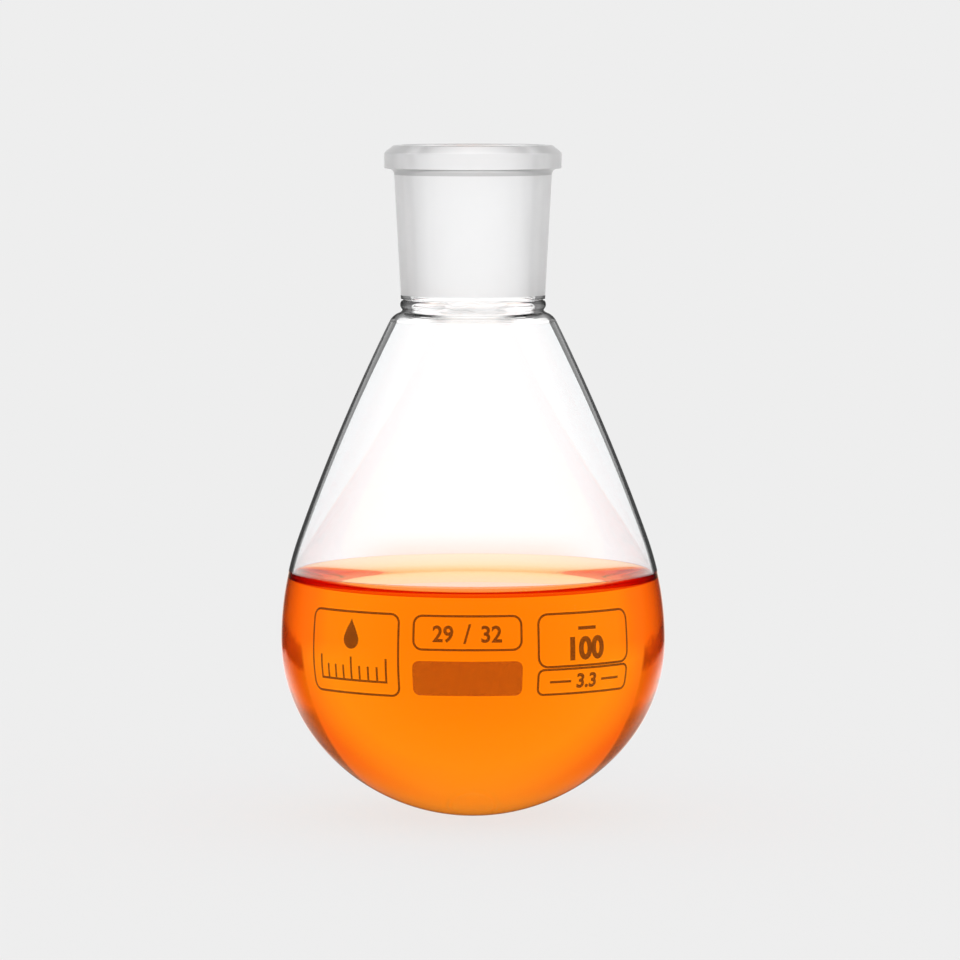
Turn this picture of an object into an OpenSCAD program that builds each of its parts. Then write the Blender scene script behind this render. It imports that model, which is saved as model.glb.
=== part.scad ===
/* [Ground socket] */
// Diameter of the ground cone at its wide end, the mouth
joint_d = 29.2; // [28.8:0.1:29.6]
// Length of the ground zone
joint_len = 32; // [30:0.5:34]
// Taper of the ground cone: diameter lost per millimetre of depth
joint_taper = 0.1; // [0.09:0.005:0.11]
// Outer diameter of the socket tube just under the rim
tube_d = 32.9; // [32.5:0.1:34]
// Outer diameter of the socket tube at its lower end
tube_end_d = 30.1; // [29.8:0.1:31]
// Outer diameter of the rim
rim_d = 37; // [36.6:0.1:39]
// Height of the rim, from its flat top to its underside
rim_h = 4.9; // [4.5:0.1:6]
// Diameter of the outer edge of the rim's flat top
rim_top_d = 33; // [32.5:0.1:34]
// Height of the rim's chamfer
rim_chamfer = 1.6; // [1.2:0.1:1.8]
// Radius of the fillet between the rim's underside and the tube
rim_fillet = 1.3; // [1:0.1:1.5]

/* [Seal ring] */
// Radius of the rounded bead that the flame seal leaves
bead_r = 1.3; // [1.25:0.05:1.4]
// Largest outer diameter of the bead
bead_d = 30.36; // [30:0.02:30.6]
// Height of the sealed ring
bead_h = 2.3; // [2.2:0.05:2.4]
// Inner diameter of the waist under the ring
waist_d = 25.6; // [25.2:0.1:26]

/* [Bulb] */
// Largest diameter of the bulb
belly_d = 80.54; // [79:0.1:82]
// Height of the largest diameter, below the mouth
belly_depth = 103.3; // [102.5:0.1:104]
// Radius of the long shoulder arc
shoulder_r = 412; // [408:1:416]
// Radius of the arc between the shoulder and the belly
upper_r = 63.7; // [62:0.1:66]
// Radius of the arc under the belly
lower_r = 34.4; // [33.5:0.1:35.5]
// Angle at which the long shoulder arc ends, from level
shoulder_angle = 19.56; // [19.4:0.02:19.7]
// Angle at which the bottom arc starts, from level
bottom_angle = 41; // [38:1:46]
// Angle of the shoulder at the crown, from level
crown_angle = 26.4; // [26:0.1:26.8]
// Radius of the crown, where the shoulder turns in to the neck
crown_r = 3.5; // [3.2:0.1:3.8]
// Wall thickness at the belly and the bottom
wall = 1.1; // [0.9:0.05:1.4]
// Turn of the inner shoulder, which thickens the wall towards the neck
wall_turn = 0.5; // [0.3:0.05:0.6]

/* [Liquid] */
// Depth of the liquid's level below the mouth
level_depth = 90.4; // [84:0.1:96]

/* [Prints] */
// Thickness of the fired enamel
print_t = 0.12; // [0.1:0.01:0.2]
// Width of the printed lines
line_w = 0.45; // [0.35:0.05:0.6]
// Corner radius of the printed frames
corner_r = 1.5; // [1:0.1:2]
// Width of a printed panel
panel_w = 22.8; // [21:0.1:23.5]
// Depth of the panels' top edge below the mouth
panel_top = 94.2; // [93:0.1:96]

/* [Hidden] */
$fn = 96;

// Ground cone
joint_end_d = joint_d - joint_len * joint_taper;
// Bead: its centre, in the plane through the axis
bead_c = [bead_d / 2 - bead_r, -joint_len - bead_h / 2 - 0.1];
bulb_top = -joint_len - bead_h;
neck_r = 14.75;
lip_r = 1.3;
inner_crown_r = crown_r - 1.8;

// The bulb's outline is a chain of arcs that meet smoothly: bottom, lower,
// upper, shoulder and crown. t is how far it is offset from the outer surface,
// and turn leans the shoulder.
function n(a) = [cos(a), sin(a)];
function arc(c, r, a0, a1, steps) = [for (i = [1:steps]) c + r * n(a0 + (a1 - a0) * i / steps)];
bottom_r = lower_r + (belly_d / 2 - lower_r) / cos(bottom_angle);
c_bottom = [0, -belly_depth + (bottom_r - lower_r) * sin(bottom_angle)];
c_lower = [belly_d / 2 - lower_r, -belly_depth];
c_upper = [belly_d / 2 - upper_r, -belly_depth];
pole = c_bottom[1] - bottom_r;
function c_shoulder(turn) = c_upper + (upper_r - shoulder_r) * n(shoulder_angle + turn);
// Angle on the upper arc at which the liquid's level meets the wall
level_angle = asin((belly_depth - level_depth) / (upper_r - wall));

function bowl(t) = concat([[0, pole - t]], arc(c_bottom, bottom_r + t, -90, -bottom_angle, 14),
    arc(c_lower, lower_r + t, -bottom_angle, 0, 12));
function upper(t, a0, a1, steps) = arc(c_upper, upper_r + t, a0, a1, steps);
function shoulder(t, turn) = arc(c_shoulder(turn), shoulder_r + t, shoulder_angle + turn, crown_angle + turn, 10);
function crown(t, turn, r, a1) = arc(c_shoulder(turn) + (shoulder_r + t - r) * n(crown_angle + turn), r,
    crown_angle + turn, a1, 6);

outer_line = concat(bowl(0), upper(0, 0, level_angle, 5), upper(0, level_angle, shoulder_angle, 3),
    shoulder(0, 0), crown(0, 0, crown_r, 72));
inner_line = concat(bowl(-wall), upper(-wall, 0, level_angle, 5),
    upper(-wall, level_angle, shoulder_angle + wall_turn, 3), shoulder(-wall, wall_turn),
    crown(-wall, wall_turn, inner_crown_r, 90));
throat = inner_line[len(inner_line) - 1];
lip_line = arc([waist_d / 2 + lip_r, throat[1] + lip_r], lip_r, 270, 180, 5);
crown_top = outer_line[len(outer_line) - 1];
liquid_line = concat(bowl(-wall), upper(-wall, 0, level_angle, 5));
skin_line = concat(bowl(0), upper(0, 0, level_angle, 5), upper(0, level_angle, shoulder_angle, 3));
print_line = concat(bowl(print_t), upper(print_t, 0, level_angle, 5), upper(print_t, level_angle, shoulder_angle, 3));
function back(list) = [for (i = [len(list) - 1:-1:0]) list[i]];

// Enamel art is drawn flat, and lands on the bulb along its panel's facing direction.
panel_angles = [-38.2, -1.6, 35.5];
module on_bulb(angle, lo, hi) {
    intersection() {
        rotate([0, 0, angle - 90 - 24])
            rotate_extrude(angle = 48)
                intersection() {
                    polygon(concat(print_line, back(skin_line)));
                    translate([20, -hi]) square([30, hi - lo]);
                }
        rotate([0, 0, angle]) rotate([90, 0, 0])
            translate([0, 0, 15]) linear_extrude(30) children();
    }
}

// Rounded rectangle with its top middle at [0, -top].
module rounded(w, top, low, r) {
    translate([-w / 2 + r, -low]) square([w - 2 * r, low - top]);
    translate([-w / 2, -low + r]) square([w, low - top - 2 * r]);
    for (x = [-w / 2 + r, w / 2 - r], z = [-low + r, -top - r]) translate([x, z]) circle(r);
}

module frame(w, top, low) {
    difference() {
        rounded(w, top, low, corner_r);
        rounded(w - 2 * line_w, top + line_w, low - line_w, corner_r - line_w);
    }
}

// Figures are built from seven bars: top, upper left, upper right, middle,
// lower left, lower right and foot.
BARS = [[1, 1, 1, 0, 1, 1, 1], [0, 0, 1, 0, 0, 1, 0], [1, 0, 1, 1, 1, 0, 1], [1, 0, 1, 1, 0, 1, 1],
        [0, 1, 1, 1, 0, 1, 0], [1, 1, 0, 1, 0, 1, 1], [1, 1, 0, 1, 1, 1, 1], [1, 0, 1, 0, 0, 1, 0],
        [1, 1, 1, 1, 1, 1, 1], [1, 1, 1, 1, 0, 1, 1]];
module figure(d, w, h, s) {
    b = BARS[d];
    if (b[0]) translate([0, h - s]) square([w, s]);
    if (b[1]) translate([0, h / 2 - s / 2]) square([s, h / 2 + s / 2]);
    if (b[2]) translate([w - s, h / 2 - s / 2]) square([s, h / 2 + s / 2]);
    if (b[3]) translate([0, h / 2 - s / 2]) square([w, s]);
    if (b[4]) square([s, h / 2 + s / 2]);
    if (b[5]) translate([w - s, 0]) square([s, h / 2 + s / 2]);
    if (b[6]) square([w, s]);
}
module figures(list, w, h, s, gap) {
    total = len(list) * w + (len(list) - 1) * gap;
    for (i = [0:len(list) - 1]) translate([-total / 2 + i * (w + gap), 0]) figure(list[i], w, h, s);
}

// Moulded socket: rim, straight outer taper and ground conical bore.
module ground_socket() {
    color([0.93, 0.94, 0.95]) difference() {
        rotate_extrude($fn = 192) difference() {
            polygon([[0, 0], [rim_top_d / 2, 0], [rim_d / 2, -rim_chamfer], [rim_d / 2, -rim_h],
                     [tube_d / 2 + rim_fillet, -rim_h], [tube_d / 2, -rim_h - rim_fillet],
                     [tube_end_d / 2, -joint_len], [0, -joint_len]]);
            translate([tube_d / 2 + rim_fillet, -rim_h - rim_fillet]) circle(rim_fillet);
        }
        rotate_extrude($fn = 192)
            polygon([[0, 0.001], [joint_d / 2 + 0.4, 0.001], [joint_d / 2 - 0.04, -0.4],
                     [joint_end_d / 2, -joint_len], [joint_end_d / 2, -joint_len - 1], [0, -joint_len - 1]]);
    }
}

// Clear ring of glass where the socket was flame-sealed to the bulb.
module seal_ring() {
    color([0.85, 0.88, 0.9]) rotate_extrude($fn = 192) difference() {
        intersection() {
            union() {
                translate(bead_c) circle(bead_r);
                translate([10, bulb_top]) square([bead_c[0] - 10, bead_h]);
            }
            translate([0, bulb_top]) square([20, bead_h]);
        }
        polygon([[0, bulb_top - 1], [waist_d / 2, bulb_top - 1], [waist_d / 2, bulb_top],
                 [joint_end_d / 2, -joint_len], [joint_end_d / 2, -joint_len + 1], [0, -joint_len + 1]]);
    }
}

// Blown bulb: straight shoulder, round belly and closed round bottom.
module pear_bulb() {
    color([0.85, 0.9, 0.92]) rotate_extrude($fn = 192)
        polygon(concat(outer_line, [[neck_r, crown_top[1] + 0.1], [neck_r, bulb_top], [waist_d / 2, bulb_top]],
            back(lip_line), back(inner_line)));
}

// Filling, up to its flat level.
module orange_liquid() {
    color([0.98, 0.5, 0.02]) rotate_extrude($fn = 192)
        polygon(concat(liquid_line, [[0, -level_depth]]));
}

// Left panel: a plain drop over a row of ticks.
module maker_panel() {
    color([0.5, 0.24, 0.08]) on_bulb(panel_angles[0], panel_top - 1, panel_top + 18.5) {
        frame(panel_w, panel_top, panel_top + 17.2);
        translate([0, -panel_top - 5.3]) circle(1.7);
        polygon([[-1.45, -panel_top - 4.4], [1.45, -panel_top - 4.4], [0, -panel_top - 1.6]]);
        for (i = [-4:4])
            translate([i * 2.1 - line_w / 2, -panel_top - 13.2])
                square([line_w, abs(i) % 4 == 0 ? 4.6 : 2.8]);
        translate([-8.9, -panel_top - 14.6]) square([17.8, line_w]);
    }
}

// Middle panel: the joint's size in plain figures.
module joint_size_panel() {
    color([0.5, 0.24, 0.08]) on_bulb(panel_angles[1], panel_top - 1, panel_top + 8.5) {
        frame(panel_w - 0.4, panel_top, panel_top + 7.4);
        translate([-5.2, -panel_top - 5.6]) figures([2, 9], 2.3, 3.6, 0.6, 0.8);
        translate([5.2, -panel_top - 5.6]) figures([3, 2], 2.3, 3.6, 0.6, 0.8);
        polygon([[-0.9, -panel_top - 5.8], [-0.3, -panel_top - 5.8], [0.9, -panel_top - 1.8], [0.3, -panel_top - 1.8]]);
    }
}

// Solid patch to write on.
module writing_patch() {
    color([0.68, 0.31, 0.08]) on_bulb(panel_angles[1], panel_top + 9, panel_top + 17.5)
        rounded(panel_w - 0.4, panel_top + 9.5, panel_top + 16.6, 1.2);
}

// Right upper panel: plain figures under a short bar.
module capacity_panel() {
    color([0.5, 0.24, 0.08]) on_bulb(panel_angles[2], panel_top - 1, panel_top + 12) {
        frame(panel_w, panel_top, panel_top + 11);
        translate([-2, -panel_top - 3.2]) square([4, 0.6]);
        translate([0, -panel_top - 9.6]) figures([1, 0, 0], 2.7, 4.9, 0.75, 0.7);
    }
}

// Right lower panel: plain figures.
module glass_type_panel() {
    color([0.5, 0.24, 0.08]) on_bulb(panel_angles[2], panel_top + 10.5, panel_top + 17.8) {
        frame(panel_w, panel_top + 11.3, panel_top + 16.9);
        translate([-2.4, -panel_top - 15.6]) figures([3], 2, 3, 0.55, 0.6);
        translate([-0.3, -panel_top - 15.6]) square([0.6, 0.6]);
        translate([2.4, -panel_top - 15.6]) figures([3], 2, 3, 0.55, 0.6);
    }
}

ground_socket();
seal_ring();
pear_bulb();
orange_liquid();
maker_panel();
joint_size_panel();
writing_patch();
capacity_panel();
glass_type_panel();
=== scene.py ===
"""Looks of the pear-shaped flask: clear and ground glass, an orange filling with its meniscus, and enamel prints."""
import math

import bmesh
import bpy
from mathutils import Matrix, Vector


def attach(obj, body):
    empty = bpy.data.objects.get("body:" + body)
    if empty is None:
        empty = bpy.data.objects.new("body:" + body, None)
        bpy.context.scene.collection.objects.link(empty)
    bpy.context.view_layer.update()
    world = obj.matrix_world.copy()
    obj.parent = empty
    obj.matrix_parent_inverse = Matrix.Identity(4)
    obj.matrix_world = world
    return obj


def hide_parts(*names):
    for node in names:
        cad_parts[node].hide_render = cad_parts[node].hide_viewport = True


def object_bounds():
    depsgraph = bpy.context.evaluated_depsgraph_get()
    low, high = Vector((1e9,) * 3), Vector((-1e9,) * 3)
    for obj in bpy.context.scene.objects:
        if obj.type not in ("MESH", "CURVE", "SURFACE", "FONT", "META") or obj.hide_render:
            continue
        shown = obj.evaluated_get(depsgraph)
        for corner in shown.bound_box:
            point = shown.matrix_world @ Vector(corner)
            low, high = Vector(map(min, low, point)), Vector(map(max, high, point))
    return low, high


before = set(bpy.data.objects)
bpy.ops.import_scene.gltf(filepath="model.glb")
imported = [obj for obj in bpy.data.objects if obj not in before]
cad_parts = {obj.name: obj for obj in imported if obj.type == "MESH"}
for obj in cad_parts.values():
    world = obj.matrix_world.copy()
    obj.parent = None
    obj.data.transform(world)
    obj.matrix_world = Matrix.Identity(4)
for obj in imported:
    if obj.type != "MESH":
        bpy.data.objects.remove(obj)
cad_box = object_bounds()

scene = bpy.context.scene
MM = 0.001

# ---------------------------------------------------------------- camera
camera_data = bpy.data.cameras.new("camera")
camera_data.lens = 203.2
camera_data.sensor_width = 36
camera_data.clip_start = 0.05
camera_data.clip_end = 200
camera = bpy.data.objects.new("camera", camera_data)
scene.collection.objects.link(camera)
camera.location = (0.00146, -1.130, 0.019)
aim = Vector((0.00146, 0, -0.070)) - Vector(camera.location)
camera.rotation_euler = aim.to_track_quat("-Z", "Y").to_euler()
scene.camera = camera

# ---------------------------------------------------------------- colour and light paths
scene.view_settings.view_transform = "Standard"
scene.view_settings.look = "None"
scene.cycles.max_bounces = 160
scene.cycles.transmission_bounces = 128
scene.cycles.glossy_bounces = 64
scene.cycles.diffuse_bounces = 4
scene.cycles.transparent_max_bounces = 32
scene.cycles.volume_bounces = 0
scene.cycles.caustics_reflective = True
scene.cycles.caustics_refractive = True
scene.cycles.blur_glossy = 0.0
scene.cycles.sample_clamp_indirect = 4.0

BACKDROP = 0.855
LIGHT = 1.15


# ---------------------------------------------------------------- node helpers
class Graph:
    """A material's node tree, with short calls for its nodes."""

    def __init__(self, name):
        self.mat = bpy.data.materials.new(name)
        self.mat.use_nodes = True
        self.tree = self.mat.node_tree
        self.tree.nodes.clear()
        self.out = self.tree.nodes.new("ShaderNodeOutputMaterial")

    def put(self, socket, value):
        if isinstance(value, bpy.types.NodeSocket):
            self.tree.links.new(value, socket)
        elif isinstance(value, (tuple, list)) and len(value) == 3 and len(socket.default_value) == 4:
            socket.default_value = (*value, 1.0)
        else:
            socket.default_value = value

    def node(self, kind, **inputs):
        n = self.tree.nodes.new("ShaderNode" + kind)
        for key, value in inputs.items():
            self.put(n.inputs[key.replace("_", " ")], value)
        return n

    def math(self, op, a, b=0.0, c=0.0, clamp=False):
        n = self.tree.nodes.new("ShaderNodeMath")
        n.operation = op
        n.use_clamp = clamp
        for socket, value in zip(n.inputs, (a, b, c)):
            self.put(socket, value)
        return n.outputs[0]

    def span(self, value, lo, hi, to_lo=0.0, to_hi=1.0, smooth=False):
        n = self.tree.nodes.new("ShaderNodeMapRange")
        n.interpolation_type = "SMOOTHSTEP" if smooth else "LINEAR"
        for key, v in (("Value", value), ("From Min", lo), ("From Max", hi), ("To Min", to_lo), ("To Max", to_hi)):
            self.put(n.inputs[key], v)
        return n.outputs["Result"]

    def ramp(self, fac, stops, interpolation="LINEAR"):
        n = self.tree.nodes.new("ShaderNodeValToRGB")
        n.color_ramp.interpolation = interpolation
        elements = n.color_ramp.elements
        while len(elements) < len(stops):
            elements.new(1.0)
        for e, (place, colour) in zip(elements, stops):
            e.position = place
            e.color = (*colour, 1.0) if isinstance(colour, tuple) else (colour, colour, colour, 1.0)
        self.put(n.inputs["Fac"], fac)
        return n.outputs["Color"]

    def mix(self, fac, a, b, blend="MIX"):
        n = self.tree.nodes.new("ShaderNodeMix")
        n.data_type = "RGBA"
        n.blend_type = blend
        self.put(n.inputs["Factor"], fac)
        self.put(n.inputs[6], a if isinstance(a, (bpy.types.NodeSocket, tuple)) else (a, a, a))
        self.put(n.inputs[7], b if isinstance(b, (bpy.types.NodeSocket, tuple)) else (b, b, b))
        return n.outputs[2]

    def mix_shaders(self, fac, a, b):
        n = self.tree.nodes.new("ShaderNodeMixShader")
        self.put(n.inputs[0], fac)
        self.tree.links.new(a, n.inputs[1])
        self.tree.links.new(b, n.inputs[2])
        return n.outputs[0]

    def facing(self):
        return self.node("LayerWeight", Blend=0.5).outputs["Facing"]

    def level_facing(self):
        """Facing of the normal's level part only, so that it is the same all the way up a turned surface."""
        n = self.node("NewGeometry")
        flat = self.tree.nodes.new("ShaderNodeVectorMath")
        flat.operation = "MULTIPLY"
        self.tree.links.new(n.outputs["Normal"], flat.inputs[0])
        flat.inputs[1].default_value = (1, 1, 0)
        unit = self.tree.nodes.new("ShaderNodeVectorMath")
        unit.operation = "NORMALIZE"
        self.tree.links.new(flat.outputs[0], unit.inputs[0])
        return self.node("LayerWeight", Blend=0.5, Normal=unit.outputs[0]).outputs["Facing"]

    def tilt(self, lo, hi):
        """0 where a surface is near upright, 1 where it leans."""
        return self.span(self.math("ABSOLUTE", self.normal_z()), lo, hi, smooth=True)

    def fresnel(self, ior):
        return self.node("Fresnel", IOR=ior).outputs[0]

    def trapped(self, ior):
        """1 where light inside cannot leave because it meets the surface too flatly."""
        return self.math("GREATER_THAN", self.fresnel(ior), 0.998)

    def backfacing(self):
        return self.node("NewGeometry").outputs["Backfacing"]

    def place(self):
        """(whole coordinate, x, y, z) of a point, in millimetres."""
        n = self.node("TexCoord")
        scale = self.tree.nodes.new("ShaderNodeVectorMath")
        scale.operation = "SCALE"
        self.tree.links.new(n.outputs["Object"], scale.inputs[0])
        scale.inputs["Scale"].default_value = 1000.0
        split = self.tree.nodes.new("ShaderNodeSeparateXYZ")
        self.tree.links.new(scale.outputs[0], split.inputs[0])
        return (scale.outputs[0], *split.outputs)

    def normal_z(self):
        n = self.node("NewGeometry")
        split = self.tree.nodes.new("ShaderNodeSeparateXYZ")
        self.tree.links.new(n.outputs["Normal"], split.inputs[0])
        return split.outputs[2]

    def noise(self, vector, scale, detail=2.0, rough=0.5):
        n = self.node("TexNoise", Vector=vector, Scale=scale, Detail=detail, Roughness=rough)
        return n.outputs["Fac"]

    def bump(self, height, strength, distance):
        n = self.node("Bump", Height=height, Strength=strength, Distance=distance)
        return n.outputs["Normal"]

    def attribute(self, name):
        n = self.tree.nodes.new("ShaderNodeAttribute")
        n.attribute_type = "GEOMETRY"
        n.attribute_name = name
        return n.outputs["Fac"]

    def surface(self, shader):
        self.tree.links.new(shader, self.out.inputs["Surface"])
        return self.mat


GLASS_IOR = 1.473
LIQUID_IOR = 1.333


def glass_shader(g, through, mirrored, normal=None, rough=0.0):
    """Bent light and mirrored light, shared out by Fresnel, each with its own tint."""
    bent = g.node("BsdfRefraction", Color=through, Roughness=rough, IOR=GLASS_IOR)
    mirror = g.node("BsdfAnisotropic", Color=mirrored, Roughness=rough)
    share = g.node("Fresnel", IOR=GLASS_IOR)
    if normal is not None:
        for n in (bent, mirror, share):
            g.put(n.inputs["Normal"], normal)
    return g.mix_shaders(share.outputs[0], bent.outputs[0], mirror.outputs[0])


# ---------------------------------------------------------------- world and floor
world = bpy.data.worlds.new("studio")
scene.world = world
world.use_nodes = True
wt = world.node_tree
wt.nodes.clear()
w_out = wt.nodes.new("ShaderNodeOutputWorld")
w_path = wt.nodes.new("ShaderNodeLightPath")
w_seen = wt.nodes.new("ShaderNodeBackground")
w_seen.inputs["Color"].default_value = (1, 1, 1, 1)
w_seen.inputs["Strength"].default_value = BACKDROP
w_light = wt.nodes.new("ShaderNodeBackground")
w_light.inputs["Color"].default_value = (1, 1, 1, 1)
w_light.inputs["Strength"].default_value = LIGHT
w_mix = wt.nodes.new("ShaderNodeMixShader")
wt.links.new(w_path.outputs["Is Camera Ray"], w_mix.inputs[0])
wt.links.new(w_light.outputs[0], w_mix.inputs[1])
wt.links.new(w_seen.outputs[0], w_mix.inputs[2])
wt.links.new(w_mix.outputs[0], w_out.inputs["Surface"])


def floor_material():
    g = Graph("floor_pale")
    path = g.node("LightPath")
    camera_ray = path.outputs["Is Camera Ray"]
    glow_seen = g.node("Emission", Color=(1, 1, 1), Strength=BACKDROP)
    glow_light = g.node("Emission", Color=(1, 1, 1), Strength=LIGHT)
    matt = g.node("BsdfDiffuse", Color=(BACKDROP / LIGHT,) * 3)
    seen = g.mix_shaders(0.14, glow_seen.outputs[0], matt.outputs[0])
    return g.surface(g.mix_shaders(camera_ray, glow_light.outputs[0], seen))


def floor():
    mesh = bpy.data.meshes.new("floor")
    z = cad_box[0][2] - 0.00002
    s = 60.0
    mesh.from_pydata([(-s, -s, z), (s, -s, z), (s, s, z), (-s, s, z)], [], [(0, 1, 2, 3)])
    obj = bpy.data.objects.new("floor", mesh)
    scene.collection.objects.link(obj)
    mesh.materials.append(floor_material())


floor()

# ---------------------------------------------------------------- outlines, in millimetres
JOINT_LEN = 32.0
BELLY_R, BELLY_DEPTH = 40.27, 103.3
SHOULDER_R, UPPER_R, LOWER_R = 412.0, 63.7, 34.4
SHOULDER_A, BOTTOM_A, CROWN_A = 19.56, 41.0, 26.4
CROWN_R, WALL, WALL_TURN = 3.5, 1.1, 0.5
BULB_TOP = -34.3
WAIST_R = 12.8
FLAT_LEVEL = -91.98
CAPILLARY = 2.3
CONTACT = FLAT_LEVEL + 2 * CAPILLARY * math.sin(math.radians(43))


def ray(a):
    return math.cos(math.radians(a)), math.sin(math.radians(a))


def off(c, r, a):
    return c[0] + r * ray(a)[0], c[1] + r * ray(a)[1]


def arc(c, r, a0, a1, steps, first=False):
    return [off(c, r, a0 + (a1 - a0) * i / steps) for i in range(0 if first else 1, steps + 1)]


BOTTOM_R = LOWER_R + (BELLY_R - LOWER_R) / math.cos(math.radians(BOTTOM_A))
C_BOTTOM = (0.0, -BELLY_DEPTH + (BOTTOM_R - LOWER_R) * math.sin(math.radians(BOTTOM_A)))
C_LOWER = (BELLY_R - LOWER_R, -BELLY_DEPTH)
C_UPPER = (BELLY_R - UPPER_R, -BELLY_DEPTH)
POLE = C_BOTTOM[1] - BOTTOM_R


def c_shoulder(turn):
    return off(C_UPPER, UPPER_R - SHOULDER_R, SHOULDER_A + turn)


def bowl(t):
    return ([(0.0, POLE - t)] + arc(C_BOTTOM, BOTTOM_R + t, -90, -BOTTOM_A, 34)
            + arc(C_LOWER, LOWER_R + t, -BOTTOM_A, 0, 26))


def level_angle(z, t):
    return math.degrees(math.asin((z + BELLY_DEPTH) / (UPPER_R + t)))


def shoulder(t, turn):
    return arc(c_shoulder(turn), SHOULDER_R + t, SHOULDER_A + turn, CROWN_A + turn, 40)


def crown(t, turn, r, a1, steps):
    return arc(off(c_shoulder(turn), SHOULDER_R + t - r, CROWN_A + turn), r, CROWN_A + turn, a1, steps)


def bezier(p0, p1, p2, steps):
    return [tuple((1 - s) ** 2 * a + 2 * s * (1 - s) * b + s * s * c for a, b, c in zip(p0, p1, p2))
            for s in (i / steps for i in range(1, steps + 1))]


def wall_radius(z, t=0.0):
    """Radius of the bulb, offset by t, at height z between the pole and the shoulder."""
    if z >= -BELLY_DEPTH:
        a = level_angle(z, t)
        if a <= SHOULDER_A:
            return off(C_UPPER, UPPER_R + t, a)[0]
        c = c_shoulder(0)
        return c[0] + math.sqrt((SHOULDER_R + t) ** 2 - (z - c[1]) ** 2)
    zt = C_LOWER[1] + (LOWER_R + t) * math.sin(math.radians(-BOTTOM_A))
    if z >= zt:
        return C_LOWER[0] + math.sqrt((LOWER_R + t) ** 2 - (z - C_LOWER[1]) ** 2)
    return math.sqrt(max((BOTTOM_R + t) ** 2 - (z - C_BOTTOM[1]) ** 2, 0.0))


# ---------------------------------------------------------------- turned meshes
def lathe(name, loop, zones, materials, segments=256, closed=True, sharp=(), warp=None, attributes=None):
    """Turns a list of (r, z) points about the z axis. zones[i] is the material of the band from point i to the next.
    A point at r = 0 is a pole. warp(r, z, angle, i) may give back a changed (r, z)."""
    bm = bmesh.new()
    layers = {k: bm.verts.layers.float.new(k) for k in (attributes or {})}
    rings = []
    for i, (r, z) in enumerate(loop):
        if r < 1e-6:
            v = bm.verts.new((0, 0, z * MM))
            ring = [v]
        else:
            ring = []
            for k in range(segments):
                a = 2 * math.pi * k / segments
                rr, zz = warp(r, z, a, i) if warp else (r, z)
                ring.append(bm.verts.new((rr * MM * math.cos(a), rr * MM * math.sin(a), zz * MM)))
        for key, values in (attributes or {}).items():
            for v in ring:
                v[layers[key]] = values[i]
        rings.append(ring)
    count = len(loop) if closed else len(loop) - 1
    for i in range(count):
        a, b = rings[i], rings[(i + 1) % len(loop)]
        if len(a) == 1 and len(b) == 1:
            continue
        for k in range(segments):
            n = (k + 1) % segments
            if len(a) == 1:
                f = bm.faces.new((a[0], b[k], b[n]))
            elif len(b) == 1:
                f = bm.faces.new((a[k], b[0], a[n]))
            else:
                f = bm.faces.new((a[k], b[k], b[n], a[n]))
            f.material_index = zones[i]
            f.smooth = True
    bmesh.ops.recalc_face_normals(bm, faces=bm.faces[:])
    for i in sharp:
        ring = rings[i]
        for k in range(segments):
            e = bm.edges.get((ring[k], ring[(k + 1) % segments]))
            if e:
                e.smooth = False
    mesh = bpy.data.meshes.new(name)
    bm.to_mesh(mesh)
    bm.free()
    for m in materials:
        mesh.materials.append(m)
    obj = bpy.data.objects.new(name, mesh)
    scene.collection.objects.link(obj)
    return obj


def rounded_corner(p0, p1, p2, r, steps=4):
    """Points that round the corner p1 between p0 and p2, r back along each side."""
    a, b, c = Vector(p0), Vector(p1), Vector(p2)
    s = b + (a - b).normalized() * r
    e = b + (c - b).normalized() * r
    return [tuple(s)] + bezier(tuple(s), tuple(b), tuple(e), steps)


def stretch(p, q, steps, last=True):
    """Points from p to q, without p."""
    n = steps if last else steps - 1
    return [(p[0] + (q[0] - p[0]) * i / steps, p[1] + (q[1] - p[1]) * i / steps) for i in range(1, n + 1)]


# ---------------------------------------------------------------- glass materials
def seam_material():
    """Where two pieces are fused: no surface is there to bend or mirror light."""
    g = Graph("fused_seam")
    return g.surface(g.node("BsdfTransparent", Color=(1, 1, 1)).outputs[0])


def wavy(g, coords, scale, strength, distance):
    """Slow waves of drawn glass, longer along the axis than across it."""
    n = g.node("Mapping", Vector=coords, Scale=(1.0, 1.0, 0.35))
    return g.bump(g.noise(n.outputs[0], scale, 1.0), strength, distance)


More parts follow.
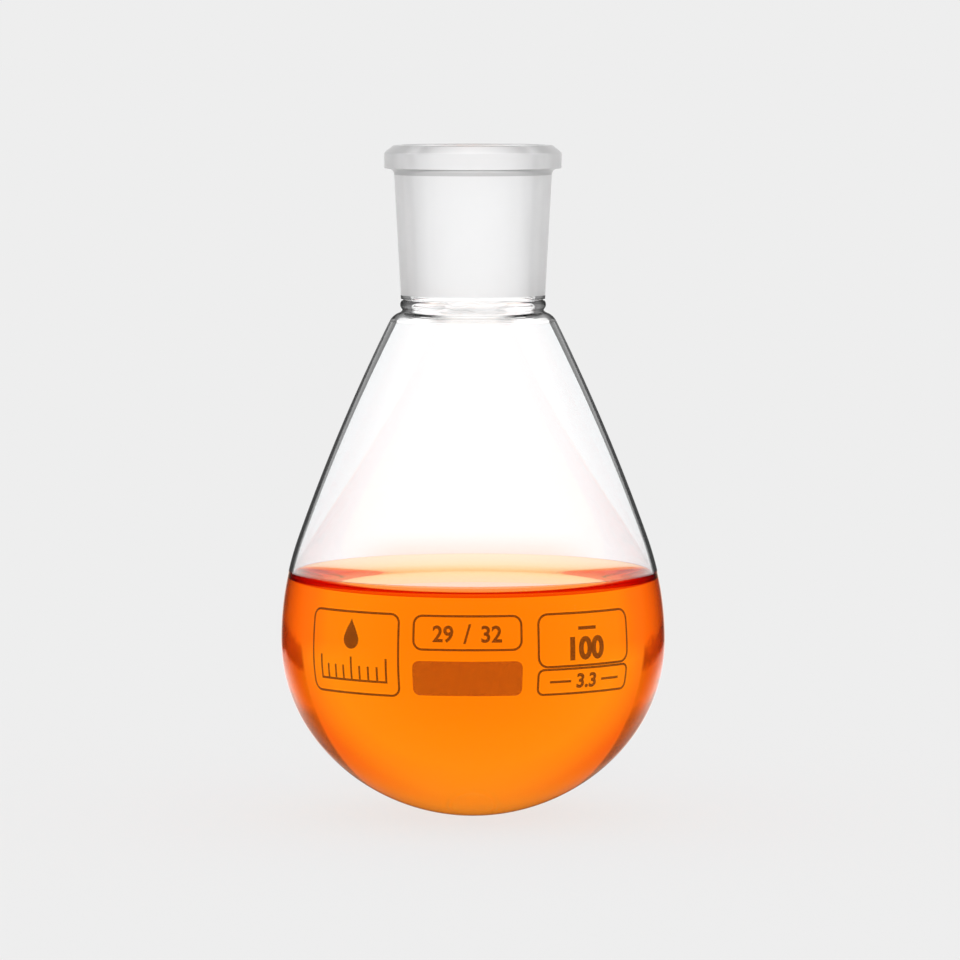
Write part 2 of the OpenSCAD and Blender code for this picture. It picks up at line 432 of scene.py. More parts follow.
def dry_outer():
    g = Graph("clear_glass_outer")
    coords, x, y, z = g.place()
    f = g.facing()
    level = g.level_facing()
    inside = g.backfacing()
    tilt = g.tilt(0.46, 0.52)
    # Painted reflection: the outer mirror tint is darkened by angle, with a near-black outline band close to the edge,
    # where a dark room would be mirrored.
    front = g.ramp(f, [(0.0, 0.60), (0.45, 0.80), (0.62, 0.94), (0.775, 0.94), (0.81, 0.10), (0.90, 0.06),
                       (0.96, 0.25), (1.0, 0.45)])
    front = g.mix(g.math("MULTIPLY", tilt, g.span(level, 0.6, 0.78, 1.0, 0.0, smooth=True)), front, 0.97)
    # Painted reflection: light mirrored inside the glass is painted dark where it is trapped and turns towards the
    # sides.
    painted_rear_mirror = g.mix(g.trapped(GLASS_IOR), g.mix(tilt, 0.97, 0.985), g.span(level, 0.36, 0.50, 0.12, 0.95))
    mirrored = g.mix(inside, front, painted_rear_mirror)
    # Painted light: an orange glow is painted into the see-through tint just above the liquid, as if its light showed
    # in the glass.
    painted_liquid_glow = g.ramp(g.span(z, -89.0, -83.0), [(0.0, (0.975, 0.80, 0.73)), (0.35, (0.985, 0.87, 0.82)),
                                           (0.7, (0.99, 0.955, 0.93)), (1.0, (0.995, 0.995, 0.995))])
    painted_liquid_glow = g.mix(g.span(level, 0.02, 0.14, smooth=True), painted_liquid_glow, (0.985, 0.993, 1.0))
    # Painted shade: the see-through tint darkens towards the edges.
    painted_edge_shade = g.ramp(f, [(0.0, 0.995), (0.30, 0.94), (0.45, 0.88), (0.60, (0.83, 0.84, 0.845)), (0.70, (0.79, 0.805, 0.81)),
                      (0.76, (0.735, 0.75, 0.755)), (1.0, 0.72)])
    through = g.mix(inside, painted_edge_shade, painted_liquid_glow)
    return g.surface(glass_shader(g, through, mirrored, wavy(g, coords, 0.05, 0.10, 0.0002)))


def dry_inner():
    g = Graph("clear_glass_inner")
    coords, x, y, z = g.place()
    level = g.level_facing()
    inside = g.backfacing()
    tilt = g.tilt(0.46, 0.52)
    # Painted shade: a dark band is painted on the inner mirror where light inside is trapped, so the wall shows a dark
    # edge.
    band = g.ramp(level, [(0.0, 0.97), (0.22, 0.97), (0.262, 0.06), (0.285, 0.035), (0.33, 0.05), (0.36, 0.14),
                          (0.42, 0.55), (0.52, 0.92), (1.0, 0.95)])
    painted_rear_mirror = g.mix(g.trapped(GLASS_IOR), 0.97, band)
    painted_rear_mirror = g.mix(g.math("MULTIPLY", tilt, g.span(level, 0.24, 0.266, 1.0, 0.0, smooth=True)), painted_rear_mirror, 0.985)
    # Painted reflection: the inner mirror tint is darker where the surface faces straight on.
    front = g.ramp(level, [(0.0, 0.60), (0.3, 0.85), (0.6, 0.96), (1.0, 0.96)])
    front = g.mix(tilt, front, 0.98)
    return g.surface(glass_shader(g, (0.995, 0.995, 0.995), g.mix(inside, front, painted_rear_mirror)))


def ring_glass():
    """Glass worked at the seal: thin uneven threads run round it, painted as grey lines of shade, and its two sides are
    painted dark.
    """
    g = Graph("clear_glass_seal")
    coords, x, y, z = g.place()
    level = g.level_facing()
    inside = g.backfacing()
    # Painted reflection: the outer mirror tint turns dark towards the sides, the inner one where light is trapped.
    front = g.ramp(level, [(0.0, 0.97), (0.55, 0.97), (0.68, 0.35), (0.80, 0.06), (1.0, 0.2)])
    painted_rear_mirror = g.ramp(level, [(0.0, 0.985), (0.255, 0.985), (0.268, 0.16), (1.0, 0.12)])
    # Painted shade: wavering grey lines in the see-through tint where the uneven seal glass bends light.
    drift = g.span(g.noise(coords, 0.16, 2.0), 0.2, 0.8, -1.1, 1.1)
    painted_thread_shade = None
    for at, wide, deep in ((-33.9, 0.22, 0.20), (-33.0, 0.16, 0.10)):
        gap = g.math("ABSOLUTE", g.math("SUBTRACT", g.math("ADD", z, drift), at))
        line = g.span(gap, 0.0, wide, deep, 0.0, smooth=True)
        painted_thread_shade = line if painted_thread_shade is None else g.math("ADD", painted_thread_shade, line)
    fade = g.span(g.noise(coords, 0.10, 1.0), 0.46, 0.60)
    clear = g.math("SUBTRACT", 0.998, g.math("MULTIPLY", painted_thread_shade, fade))
    through = g.mix(inside, g.mix(1.0, (1, 1, 1), clear, "MULTIPLY"), 0.998)
    bent = glass_shader(g, through, g.mix(inside, front, painted_rear_mirror))
    plain = g.node("BsdfTransparent", Color=through)
    share = g.span(level, 0.03, 0.20, 0.72, 0.0, smooth=True)
    return g.surface(g.mix_shaders(share, bent, plain.outputs[0]))


def wet_outer():
    """Glass with the liquid behind it. The liquid bends light so far near its sides that the dark room shows there;
    that dark is painted in as crescents, reddened edges and dark mirror tints.
    """
    g = Graph("clear_glass_over_liquid")
    coords, x, y, z = g.place()
    f = g.facing()
    nz = g.normal_z()
    inside = g.backfacing()
    c = g.math("SUBTRACT", 1.0, f)
    s2 = g.math("SUBTRACT", 1.0, g.math("MULTIPLY", c, c))
    s = g.math("SQRT", s2)
    ez2 = g.math("DIVIDE", g.math("MULTIPLY", nz, nz), g.math("MAXIMUM", s2, 0.001))
    ex = g.math("SQRT", g.math("MAXIMUM", g.math("SUBTRACT", 1.0, ez2), 0.0))
    bend = g.math("ARCSINE", g.math("DIVIDE", s, LIQUID_IOR))
    turned = g.math("MULTIPLY", g.math("SUBTRACT", g.math("ARCSINE", s), bend), 2 * 180 / math.pi)
    # Painted shade: where the liquid would bend the view far enough to show the dark room, dark crescents are painted,
    # their tint listed by height in the table below.
    painted_crescent_mask = g.span(g.math("ADD", g.math("MULTIPLY", turned, ex), g.span(z, -116, -135, 0.0, 1.8)), 41.3, 43.7, smooth=True)
    # Height, moved down a little away from the edge
    q = g.math("ADD", z, g.math("MULTIPLY", g.math("SUBTRACT", 0.9, f), 11.0))
    q = g.math("ADD", q, g.span(g.noise(coords, 0.22, 2.0), 0.3, 0.7, -0.8, 0.8))
    depth = g.span(q, -96, -136)
    painted_crescent_table = ((-97, 1.0, 1.0), (-98.2, 0.98, 0.9), (-99.5, 0.70, 0.50), (-100.5, 0.64, 0.42), (-102, 0.54, 0.32),
             (-103, 0.52, 0.33), (-104, 0.68, 0.50), (-105, 0.82, 0.75), (-109, 0.86, 0.86), (-112, 0.90, 0.95),
             (-115, 0.64, 0.66), (-116.4, 0.55, 0.58), (-118, 0.57, 0.60), (-121, 0.46, 0.52), (-124, 0.40, 0.50),
             (-129, 0.47, 0.62), (-133, 0.62, 0.85))
    side = g.ramp(depth, [((-96 - h) / 40, (r, gr, gr * 0.5)) for h, r, gr in painted_crescent_table])
    # Painted shade: the see-through tint turns orange and then dark red towards the edges, paler low down.
    painted_edge_tint = g.ramp(f, [(0.0, (1, 1, 1)), (0.2, (1, 0.95, 0.8)), (0.35, (1, 0.82, 0.6)), (0.45, (1, 0.62, 0.5)),
                      (0.55, (1, 0.52, 0.4)), (0.62, (0.97, 0.43, 0.3)), (0.71, (0.80, 0.33, 0.3)),
                      (0.78, (0.62, 0.26, 0.3)), (0.86, (0.42, 0.17, 0.3)), (1.0, (0.36, 0.14, 0.3))])
    painted_edge_tint_low = g.ramp(f, [(0.0, (1, 1, 1)), (0.2, (1, 1, 0.9)), (0.35, (1, 0.96, 0.75)), (0.45, (1, 0.80, 0.6)),
                          (0.55, (1, 0.62, 0.5)), (0.62, (1, 0.47, 0.35)), (1.0, (1, 0.40, 0.3))])
    painted_edge_tint = g.mix(g.span(z, -101.0, -105.0), painted_edge_tint, painted_edge_tint_low)
    side_weight = g.span(ex, 0.25, 0.85, smooth=True)
    through = g.mix(side_weight, g.mix(0.25, (1, 1, 1), painted_edge_tint), painted_edge_tint)
    through = g.mix(painted_crescent_mask, through, g.mix(1.0, through, side, "MULTIPLY"))
    through = g.mix(inside, through, (1, 1, 1))
    # Painted reflection: the outer mirror tints are near black facing straight on and light only at grazing angles;
    # inside the glass the mirror is painted orange.
    pale = g.ramp(f, [(0.0, 0.008), (0.60, 0.01), (0.645, (0.15, 0.06, 0.04)), (0.69, (0.35, 0.22, 0.14)),
                      (0.74, (0.70, 0.50, 0.36)), (0.81, (1.0, 0.88, 0.76)), (0.93, (1, 1, 1)), (1.0, (1, 1, 1))])
    share = g.ramp(depth, [(0.0, 0.0), (0.185, 0.0), (0.215, 0.45), (0.32, 0.85), (0.42, 0.85), (0.56, 0.42),
                           (0.72, 0.13), (0.82, 0.22), (0.93, 0.20), (1.0, 0.05)])
    plain = g.ramp(f, [(0.0, 0.008), (0.80, 0.012), (0.87, (0.2, 0.1, 0.06)), (0.93, (1.0, 0.85, 0.75)),
                       (1.0, (1.0, 0.95, 0.9))])
    share = g.math("MULTIPLY", share, side_weight)
    plain = g.mix(g.span(ex, 0.60, 0.85, smooth=True), 0.02, plain)
    mirrored = g.mix(inside, g.mix(share, plain, pale), (0.975, 0.86, 0.48))
    return g.surface(glass_shader(g, through, mirrored))


def wet_inner():
    g = Graph("clear_glass_wetted")
    bent = g.node("BsdfRefraction", Color=(1, 1, 1), Roughness=0.0, IOR=GLASS_IOR)
    # Painted reflection: light trapped inside the glass is mirrored orange.
    mirror = g.node("BsdfAnisotropic", Color=(0.90, 0.45, 0.10), Roughness=0.0)
    return g.surface(g.mix_shaders(g.trapped(GLASS_IOR), bent.outputs[0], mirror.outputs[0]))


def socket_outer(name="ground_glass_outer", dim=1.0, rim=False):
    """Moulded outside of the socket: a soft satin skin, a little wavy, with painted shade that greys it where it turns
    away.
    """
    g = Graph(name)
    coords, x, y, z = g.place()
    f = g.facing()
    inside = g.backfacing()
    # Painted shade: the see-through tint greys by angle, darkest where the surface turns away.
    stops = [(0.0, 0.856), (0.064, 0.866), (0.139, 0.885), (0.19, 0.918), (0.253, 0.935), (0.33, 0.965), (0.43, 0.875),
             (0.564, 0.69), (0.745, 0.62), (1.0, 0.56)]
    shade = g.ramp(f, [(p, (v * dim, v * dim, v * dim * 1.006)) for p, v in stops])
    if rim:
        # Painted shade: on the rim the tint greys further towards the sides.
        turn = g.ramp(g.level_facing(), [(0.0, 1.0), (0.24, 0.99), (0.32, 0.88), (0.40, 0.76), (0.50, 0.77), (0.65, 0.86), (1.0, 0.9)])
        shade = g.mix(1.0, shade, turn, "MULTIPLY")
    cloud = g.noise(coords, 0.22, 3.0)
    shade = g.mix(g.span(cloud, 0.3, 0.75, 0.0, 0.5), shade, g.mix(1.0, shade, (0.985, 0.985, 0.98), "MULTIPLY"))
    through = g.mix(inside, shade, (0.995, 0.995, 0.995))
    # Painted reflection: the mirror tint is darkened, most where the surface faces straight on.
    front = g.ramp(f, [(0.0, 0.6 * dim), (0.6, 0.55 * dim), (1.0, 0.75)])
    mirrored = g.mix(inside, front, 0.985)
    return g.surface(glass_shader(g, through, mirrored, wavy(g, coords, 0.12, 0.1, 0.0002), 0.32))


def socket_ground():
    """Ground bore: fine grit with faint turning marks."""
    g = Graph("ground_glass_bore")
    coords, x, y, z = g.place()
    grit = g.noise(coords, 9.0, 2.0, 0.7)
    stretch_node = g.node("Mapping", Vector=coords, Scale=(0.4, 0.4, 6.0))
    marks = g.noise(stretch_node.outputs[0], 1.5, 2.0)
    height = g.math("ADD", grit, g.math("MULTIPLY", marks, 0.4))
    normal = g.bump(height, 0.35, 0.00004)
    tone = g.span(g.noise(coords, 0.5, 3.0), 0.3, 0.7, 0.975, 1.0)
    colour = g.mix(1.0, (0.99, 0.99, 0.99), tone, "MULTIPLY")
    bent = g.node("BsdfRefraction", Color=colour, Roughness=0.6, IOR=GLASS_IOR, Normal=normal)
    mirror = g.node("BsdfAnisotropic", Color=colour, Roughness=0.6, Normal=normal)
    share = g.node("Fresnel", IOR=GLASS_IOR)
    return g.surface(g.mix_shaders(share.outputs[0], bent.outputs[0], mirror.outputs[0]))


seam = seam_material()
outer_dry, inner_dry, outer_wet, inner_wet = dry_outer(), dry_inner(), wet_outer(), wet_inner()
outer_socket, bore_socket = socket_outer(), socket_ground()
# Painted shade: the fillet under the rim uses the same ground glass painted darker.
throat_socket = socket_outer("ground_glass_fillet", 0.68)
rim_socket = socket_outer("ground_glass_rim", 1.0, True)
ring = ring_glass()


# ---------------------------------------------------------------- ground socket
def socket():
    loop, zones = [], []

    def add(points, zone):
        for p in points:
            loop.append(p)
            zones.append(zone)

    low_r, high_r = 15.05, 16.45
    add([(low_r, -JOINT_LEN)], 4)
    add([(low_r + 0.04, -31.25)], 0)
    add(stretch((low_r + 0.04, -31.25), (high_r, -6.2), 12), 0)
    zones[-1] = 3
    add(arc((high_r + 1.3, -6.2), 1.3, 180, 90, 8), 3)
    add(rounded_corner((high_r + 1.3, -4.9), (18.5, -4.9), (18.5, -1.6), 0.35), 5)
    add(rounded_corner((18.5, -4.9), (18.5, -1.6), (16.5, 0), 0.3), 5)
    add(rounded_corner((18.5, -1.6), (16.5, 0), (15.0, 0), 0.35), 5)
    add(rounded_corner((16.5, 0), (15.0, 0), (14.56, -0.4), 0.12), 0)
    add([(14.56, -0.4)], 1)
    add(stretch((14.56, -0.4), (13.05, -31.25), 16), 1)
    zones[-1] = 4
    add([(13.0, -JOINT_LEN)], 2)
    sharp = [0, len(loop) - 1, len(loop) - 2 - 16]

    def warp(r, z, a, i):
        if z < -31.99 or r < 14.9:
            return r, z
        return r + 0.02 * math.sin(2 * a + 0.7) * min(1.0, (z + 32) / 4), z

    obj = lathe("ground_socket", loop, zones, [outer_socket, bore_socket, seam, throat_socket, ring,
                                                rim_socket], sharp=sharp, warp=warp)
    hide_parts("ground_socket")
    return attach(obj, "root")


# ---------------------------------------------------------------- seal ring
def ring_wave(z, a):
    t = max(0.0, min(1.0, (z + 34.3) / 2.3))
    w = math.sin(math.pi * t)
    return w * (0.10 * math.sin(2 * a + 0.9) + 0.05 * math.sin(5 * a + 2.1) + 0.03 * math.sin(9 * a + 0.4))


def seal_ring():
    outer = [(15.05, -32.0), (14.62, -32.12), (14.50, -32.22), (14.62, -32.38)]
    outer += arc((13.88, -33.25), 1.3, 44, -44, 12)
    outer += [(14.78, -34.22), (14.75, BULB_TOP)]
    inner = [(WAIST_R, BULB_TOP)] + bezier((WAIST_R, BULB_TOP), (12.85, -33.3), (12.95, -32.6), 5) + [(13.0, -32.0)]
    loop = outer + inner
    zones = [0] * (len(outer) - 1) + [2] + [1] * (len(inner) - 1) + [2]
    sharp = [0, len(outer) - 1, len(outer), len(loop) - 1]

    def warp(r, z, a, i):
        if i in sharp:
            return r, z
        return (r + 0.4 * ring_wave(z, a), z) if i < len(outer) else (r + 0.8 * ring_wave(z, a), z)

    obj = lathe("seal_ring", loop, zones, [ring, ring, seam], sharp=sharp, warp=warp)
    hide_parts("seal_ring")
    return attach(obj, "root")


# ---------------------------------------------------------------- bulb
def bulb():
    loop, zones = [], []
    la, lt = level_angle(CONTACT, 0), level_angle(CONTACT, -WALL)
    outer_low = bowl(0) + arc(C_UPPER, UPPER_R, 0, la, 14)
    outer_high = arc(C_UPPER, UPPER_R, la, SHOULDER_A, 8) + shoulder(0, 0) + crown(0, 0, CROWN_R, 64, 10)
    outer_high += bezier(outer_high[-1], (14.75, outer_high[-1][1] + 0.35), (14.75, BULB_TOP), 5)
    inner_low = bowl(-WALL) + arc(C_UPPER, UPPER_R - WALL, 0, lt, 14)
    inner_high = (arc(C_UPPER, UPPER_R - WALL, lt, SHOULDER_A + WALL_TURN, 8) + shoulder(-WALL, WALL_TURN)
                  + crown(-WALL, WALL_TURN, CROWN_R - 1.8, 90, 10))
    throat = inner_high[-1]
    lip = arc((WAIST_R + 1.3, throat[1] + 1.3), 1.3, 270, 180, 8)
    if lip[-1][1] < BULB_TOP - 0.01:
        lip = lip[:-1] + [lip[-1], (WAIST_R, BULB_TOP)]
    inner = inner_low + inner_high + lip
    loop = outer_low + outer_high + inner[::-1]
    n_out = len(outer_low) + len(outer_high)
    zones = [0] * (len(outer_low) - 1) + [1] * len(outer_high)
    zones += [4]
    dry_bands = len(inner_high) + len(lip)
    zones += [2] * dry_bands + [3] * (len(inner_low) - 1)
    zones = zones[:len(loop) - 1] + [0]
    zones[n_out - 1] = 4
    for i in range(n_out, len(loop) - 1):
        zones[i] = 2 if i < n_out + dry_bands else 3
    for i in range(n_out - 16, n_out - 1):
        zones[i] = 5
    for i in range(n_out, n_out + len(lip) + 10):
        zones[i] = 5

    def warp(r, z, a, i):
        t = max(0.0, min(1.0, (z + 137) / 10)) * max(0.0, min(1.0, (-36.5 - z) / 10))
        return r + t * (0.035 * math.sin(2 * a + 0.5 + 0.03 * z) + 0.02 * math.sin(3 * a + 1.3 - 0.05 * z)), z

    obj = lathe("pear_bulb", loop, zones, [outer_wet, outer_dry, inner_dry, inner_wet, seam, ring], closed=False,
                sharp=[n_out - 1, n_out], warp=warp)
    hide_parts("pear_bulb")
    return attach(obj, "root")


# ---------------------------------------------------------------- liquid
def liquid_material():
    g = Graph("orange_liquid")
    coords, x, y, z = g.place()
    top = g.attribute("free_surface")
    rim = g.attribute("meniscus")
    body = g.node("BsdfPrincipled", Base_Color=(1, 1, 1), Roughness=0.0, IOR=LIQUID_IOR, Transmission_Weight=1.0)
    # Painted reflection: the side's own mirror is painted black, so it shows no reflection.
    body.inputs["Specular Tint"].default_value = (0, 0, 0, 1)
    # Past the angle at which no light leaves, the side sends light back into the liquid; this mirror is painted orange.
    painted_trapped_mirror = g.node("BsdfAnisotropic", Color=(0.85, 0.38, 0.06), Roughness=0.0)
    side = g.mix_shaders(g.trapped(LIQUID_IOR), body.outputs[0], painted_trapped_mirror.outputs[0])
    back = g.backfacing()
    radius = g.math("SQRT", g.math("ADD", g.math("MULTIPLY", x, x), g.math("MULTIPLY", y, y)))
    # Painted reflection: the free surface's mirror is painted cream in the middle and orange towards the wall, with
    # faint streaks, deeper on the meniscus, and orange from below.
    painted_top_reflection = g.ramp(g.span(radius, 0, 38), [(0.0, (1.0, 0.97, 0.95)), (0.25, (1.0, 0.96, 0.93)), (0.6, (1.0, 0.93, 0.87)),
                                         (0.78, (1.0, 0.86, 0.68)), (1.0, (0.98, 0.68, 0.34))])
    streak = g.node("Mapping", Vector=coords, Scale=(0.05, 0.05, 1.0))
    painted_top_reflection = g.mix(g.span(g.noise(streak.outputs[0], 2.0, 2.0), 0.4, 0.65, 0.0, 0.5), painted_top_reflection, (1.0, 0.96, 0.9))
    lip = g.mix(1.0, painted_top_reflection, (0.98, 0.78, 0.66), "MULTIPLY")
    painted_mirror_colour = g.mix(back, g.mix(rim, painted_top_reflection, lip), (0.86, 0.26, 0.06))
    # Painted shade: light bent through the meniscus is painted a deeper orange; the flat top and the underside get
    # faint cream tints.
    bent_c = g.mix(back, g.mix(rim, (1.0, 0.93, 0.86), (1.0, 0.80, 0.60)), (0.98, 0.9, 0.85))
    bent = g.node("BsdfRefraction", Color=bent_c, Roughness=0.0, IOR=LIQUID_IOR)
    mirror = g.node("BsdfAnisotropic", Color=painted_mirror_colour, Roughness=0.0)
    # Painted reflection: the flat top's mirror share is raised above Fresnel at grazing angles.
    share = g.fresnel(LIQUID_IOR)
    flat = g.math("MULTIPLY", g.math("SUBTRACT", 1.0, back), g.math("SUBTRACT", 1.0, rim))
    share = g.math("ADD", share, g.math("MULTIPLY", g.span(share, 0.30, 0.55, 0.0, 0.20, smooth=True), flat), clamp=True)
    free = g.mix_shaders(share, bent.outputs[0], mirror.outputs[0])
    g.surface(g.mix_shaders(g.math("GREATER_THAN", top, 0.5), side, free))
    absorb = g.node("VolumeAbsorption", Color=(0.996, 0.7425, 0.0), Density=80.0)
    g.tree.links.new(absorb.outputs[0], g.out.inputs["Volume"])
    return g.mat


def meniscus_profile():
    """The capillary curve a free surface takes at a wall: (distance from its top, height over the level)."""
    points = []
    x, angle = 0.0, 86.0
    while angle > 1.2:
        points.append((x, 2 * CAPILLARY * math.sin(math.radians(angle / 2))))
        step = min(3.0, angle * 0.12)
        mid = angle - step / 2
        x += CAPILLARY * math.cos(math.radians(mid)) / (2 * math.sin(math.radians(mid / 2))) * math.radians(step)
        angle -= step
    return points


def liquid():
    t = -WALL + 0.08
    lt = level_angle(CONTACT + 0.03, t)
    side = bowl(t) + arc(C_UPPER, UPPER_R + t, 0, lt, 14)
    r_in = wall_radius(CONTACT, -WALL)
    curve = [(r_in - d, FLAT_LEVEL + h) for d, h in meniscus_profile()]
    end = curve[-1][0]
    top = curve + [(end - 1.5, FLAT_LEVEL + 0.02), (end - 3.5, FLAT_LEVEL), (18, FLAT_LEVEL), (9, FLAT_LEVEL), (0.0, FLAT_LEVEL)]
    loop = side + top
    obj = lathe("orange_liquid", loop, [0] * len(loop), [liquid_material()], closed=False, sharp=[len(side) - 1])
    # The free surface and its curved edge are told apart face by face, by the band each face is in.
    mesh = obj.data
    a = mesh.attributes.new("free_surface", "FLOAT", "FACE")
    b = mesh.attributes.new("meniscus", "FLOAT", "FACE")
    for p in mesh.polygons:
        r = math.hypot(p.center.x, p.center.y) / MM
        z = p.center.z / MM
        is_top = z > FLAT_LEVEL - 0.3 and r < wall_radius(z, t) - 0.02
        a.data[p.index].value = 1.0 if is_top else 0.0
        b.data[p.index].value = 1.0 if is_top and r > end else 0.0
    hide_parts("orange_liquid")
    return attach(obj, "root")


# ---------------------------------------------------------------- prints
DEG_PER_MM = 1.443
LINE = 0.47


def rectangle(bm, x0, z0, x1, z1):
    return bm.faces.new([bm.verts.new((x, z, 0)) for x, z in ((x0, z0), (x1, z0), (x1, z1), (x0, z1))])


def rounded_outline(x0, z0, x1, z1, r, steps=6):
    points = []
    for cx, cz, a0 in ((x1 - r, z0 + r, -90), (x1 - r, z1 - r, 0), (x0 + r, z1 - r, 90), (x0 + r, z0 + r, 180)):
        points += [off((cx, cz), r, a0 + 90 * i / steps) for i in range(steps + 1)]
    return points


def filled(bm, points):
    return bm.faces.new([bm.verts.new((x, z, 0)) for x, z in points])


def band(bm, outer, inner):
    a = [bm.verts.new((x, z, 0)) for x, z in outer]
    b = [bm.verts.new((x, z, 0)) for x, z in inner]
    for i in range(len(a)):
        j = (i + 1) % len(a)
        bm.faces.new((a[i], a[j], b[j], b[i]))


def framed(bm, x0, z0, x1, z1, r=1.7):
    band(bm, rounded_outline(x0, z0, x1, z1, r),
         rounded_outline(x0 + LINE, z0 + LINE, x1 - LINE, z1 - LINE, r - LINE))


def figures(bm, body, x, z, height, weight=0.02, squeeze=1.0):
    """Plain numbers, centred on x with their foot at z."""
    curve = bpy.data.curves.new("figures", "FONT")
    curve.body = body
    curve.offset = weight
    curve.resolution_u = 4
    curve.fill_mode = "FRONT"
    obj = bpy.data.objects.new("figures", curve)
    scene.collection.objects.link(obj)
    bpy.context.view_layer.update()
    mesh = bpy.data.meshes.new_from_object(obj.evaluated_get(bpy.context.evaluated_depsgraph_get()))
    bpy.data.objects.remove(obj)
    bpy.data.curves.remove(curve)
    xs = [v.co.x for v in mesh.vertices]
    zs = [v.co.y for v in mesh.vertices]
    s = height / (max(zs) - min(zs))
    mid = (max(xs) + min(xs)) / 2
    low = min(zs)
    mesh.transform(Matrix.Translation((x, z, 0)) @ Matrix.Diagonal((s * squeeze, s, 1, 1))
                   @ Matrix.Translation((-mid, -low, 0)))
    bm.from_mesh(mesh)
    bpy.data.meshes.remove(mesh)


def drop(bm, x, z, r, tip):
    """A plain drop: a round foot at z that narrows to a point, tip above it."""
    points = []
    for i in range(25):
        a = -200 + 220 * i / 24
        points.append((x + r * ray(a)[0], z + r * ray(a)[1]))
    points += [(x + r * 0.55, z + r * 1.25), (x + r * 0.2, z + tip * 0.8), (x, z + tip),
               (x - r * 0.2, z + tip * 0.8), (x - r * 0.55, z + r * 1.25)]
    return points


def wrap(name, bm, angle, node, material, height=0.045):
    """Cuts flat art into small cells, lays it on the bulb and gives it its thickness."""
    bmesh.ops.remove_doubles(bm, verts=bm.verts[:], dist=0.002)
    xs = [v.co.x for v in bm.verts]
    zs = [v.co.y for v in bm.verts]

    def cut(lo, hi, step, axis):
        p = math.floor(lo / step) * step + step
        while p < hi:
            co = Vector((0, 0, 0))
            no = Vector((0, 0, 0))
            co[axis] = p
            no[axis] = 1
            bmesh.ops.bisect_plane(bm, geom=bm.verts[:] + bm.edges[:] + bm.faces[:], dist=1e-5, plane_co=co, plane_no=no)
            p += step

    cut(min(xs), max(xs), 0.9, 0)
    cut(min(zs), max(zs), 0.9, 1)
    bmesh.ops.triangulate(bm, faces=[f for f in bm.faces if len(f.verts) > 4])
    bm.normal_update()
    for f in bm.faces:
        if f.normal.z < 0:
            f.normal_flip()
    flat_verts, flat_faces, flat_edges = bm.verts[:], bm.faces[:], bm.edges[:]
    rim = [e for e in flat_edges if len(e.link_faces) == 1]
    under = {v: bm.verts.new(v.co) for v in flat_verts}
    for f in flat_faces:
        bm.faces.new([under[v] for v in reversed(f.verts)])
    for e in rim:
        loop = e.link_loops[0]
        a, b = loop.vert, loop.link_loop_next.vert
        bm.faces.new((b, a, under[a], under[b]))
    below = set(under.values())
    for v in bm.verts:
        u, z = v.co.x, v.co.y
        a = math.radians(angle + u * DEG_PER_MM)
        lift = 0.012 if v in below else height
        r = wall_radius(z) + bulb_warp(z, a) + lift
        v.co = Vector((r * math.sin(a) * MM, -r * math.cos(a) * MM, z * MM))
    loose = [v for v in bm.verts if not v.link_faces]
    bmesh.ops.delete(bm, geom=loose, context="VERTS")
    bmesh.ops.recalc_face_normals(bm, faces=bm.faces[:])
    mesh = bpy.data.meshes.new(name)
    bm.to_mesh(mesh)
    bm.free()
    mesh.materials.append(material)
    obj = bpy.data.objects.new(name, mesh)
    scene.collection.objects.link(obj)
    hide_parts(node)
    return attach(obj, "root")


def bulb_warp(z, a):
    """The bulb's own waviness at an angle a, measured from the front towards +x."""
    b = a - math.pi / 2
    t = max(0.0, min(1.0, (z + 137) / 10)) * max(0.0, min(1.0, (-36.5 - z) / 10))
    return t * (0.035 * math.sin(2 * b + 0.5 + 0.03 * z) + 0.02 * math.sin(3 * b + 1.3 - 0.05 * z))


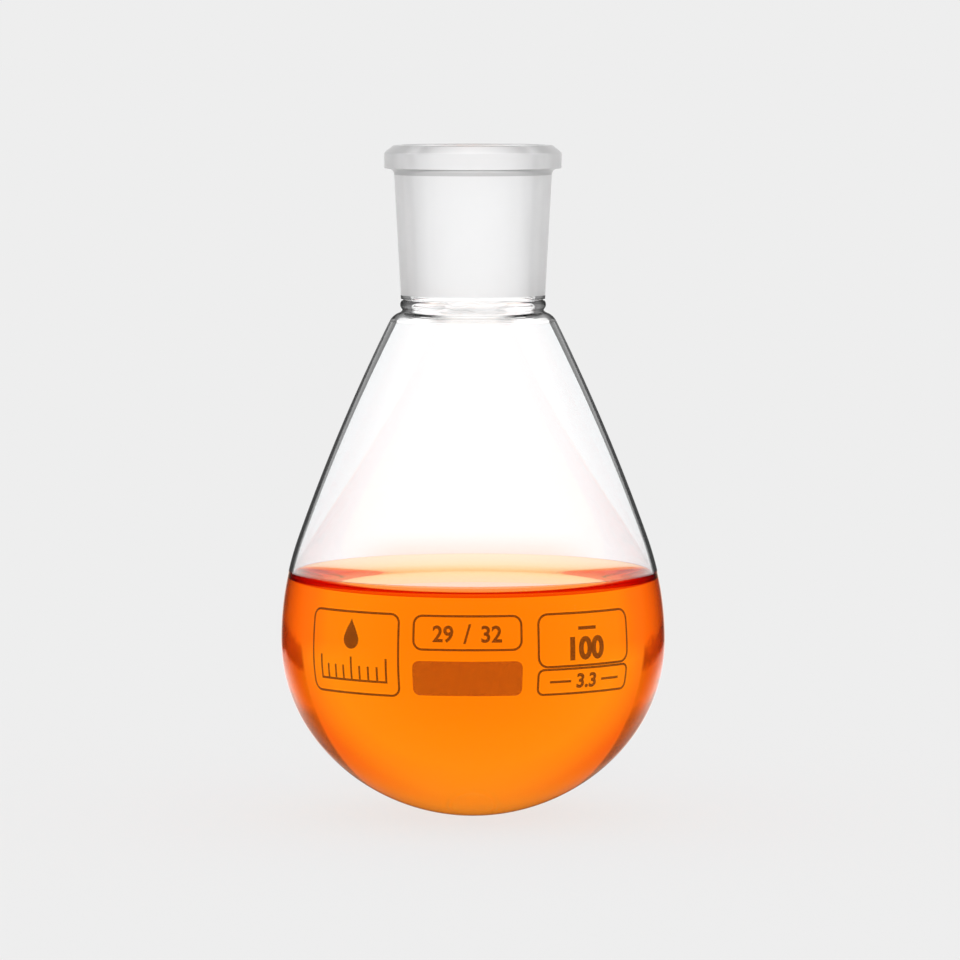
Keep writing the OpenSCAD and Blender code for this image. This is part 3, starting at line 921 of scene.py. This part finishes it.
def enamel(name, colour, clear, spread):
    """Fired enamel: thin, slightly uneven, a little light passes through."""
    g = Graph(name)
    coords, x, y, z = g.place()
    fine = g.noise(coords, 3.2, 3.0, 0.6)
    broad = g.noise(coords, 0.5, 2.0)
    darker = tuple(c * (1 - spread) for c in colour)
    tone = g.mix(g.span(g.math("ADD", g.math("MULTIPLY", fine, 0.5), g.math("MULTIPLY", broad, 0.5)), 0.35, 0.65),
                 colour, darker)
    paint = g.node("BsdfPrincipled", Base_Color=tone, Roughness=0.5, Normal=g.bump(fine, 0.3, 0.00002))
    paint.inputs["Specular IOR Level"].default_value = 0.05
    gap = g.node("BsdfTransparent", Color=(1, 1, 1))
    share = g.span(fine, 0.2, 0.8, clear * 0.85, clear * 1.15)
    return g.surface(g.mix_shaders(share, paint.outputs[0], gap.outputs[0]))


def prints():
    line_mat = enamel("enamel_lines", (0.125, 0.022, 0.001), 0.42, 0.30)
    patch_mat = enamel("enamel_patch", (0.29, 0.022, 0.002), 0.60, 0.10)

    bm = bmesh.new()
    framed(bm, -11.4, -111.4, 11.4, -94.2, 2.0)
    filled(bm, drop(bm, 0, -100.1, 1.9, 4.3))
    for i in range(-4, 5):
        h = 4.6 if i % 4 == 0 else 2.8
        rectangle(bm, i * 2.1 - LINE / 2, -108.2, i * 2.1 + LINE / 2, -108.2 + h)
    rectangle(bm, -8.4 - LINE / 2, -108.2 - LINE, 8.4 + LINE / 2, -108.2)
    wrap("maker_panel", bm, -38.2, "maker_panel", line_mat)

    bm = bmesh.new()
    framed(bm, -11.2, -101.6, 11.2, -94.3, 2.0)
    figures(bm, "29", -4.9, -99.9, 3.5, 0.025, 0.94)
    figures(bm, "/", 0, -100.1, 4.0, 0.01, 1.0)
    figures(bm, "32", 4.9, -99.9, 3.5, 0.025, 0.94)
    wrap("joint_size_panel", bm, -1.6, "joint_size_panel", line_mat)

    bm = bmesh.new()
    filled(bm, rounded_outline(-11.2, -110.8, 11.2, -103.7, 1.4))
    wrap("writing_patch", bm, -1.6, "writing_patch", patch_mat)

    bm = bmesh.new()
    framed(bm, -11.4, -105.4, 11.4, -94.2, 2.3)
    rectangle(bm, -2.2, -97.9, 2.2, -97.2)
    figures(bm, "100", 0, -104.1, 4.9, 0.045, 1.0)
    wrap("capacity_panel", bm, 35.5, "capacity_panel", line_mat)

    bm = bmesh.new()
    framed(bm, -11.4, -111.1, 11.4, -105.5, 1.5)
    figures(bm, "3.3", 0, -109.85, 3.1, 0.035, 1.05)
    for x in (-6.2, 6.2):
        rectangle(bm, x - 2.4, -108.55, x + 2.4, -108.05)
    wrap("glass_type_panel", bm, 35.5, "glass_type_panel", line_mat)


socket()
seal_ring()
bulb()
liquid()
prints()

bpy.context.view_layer.update()
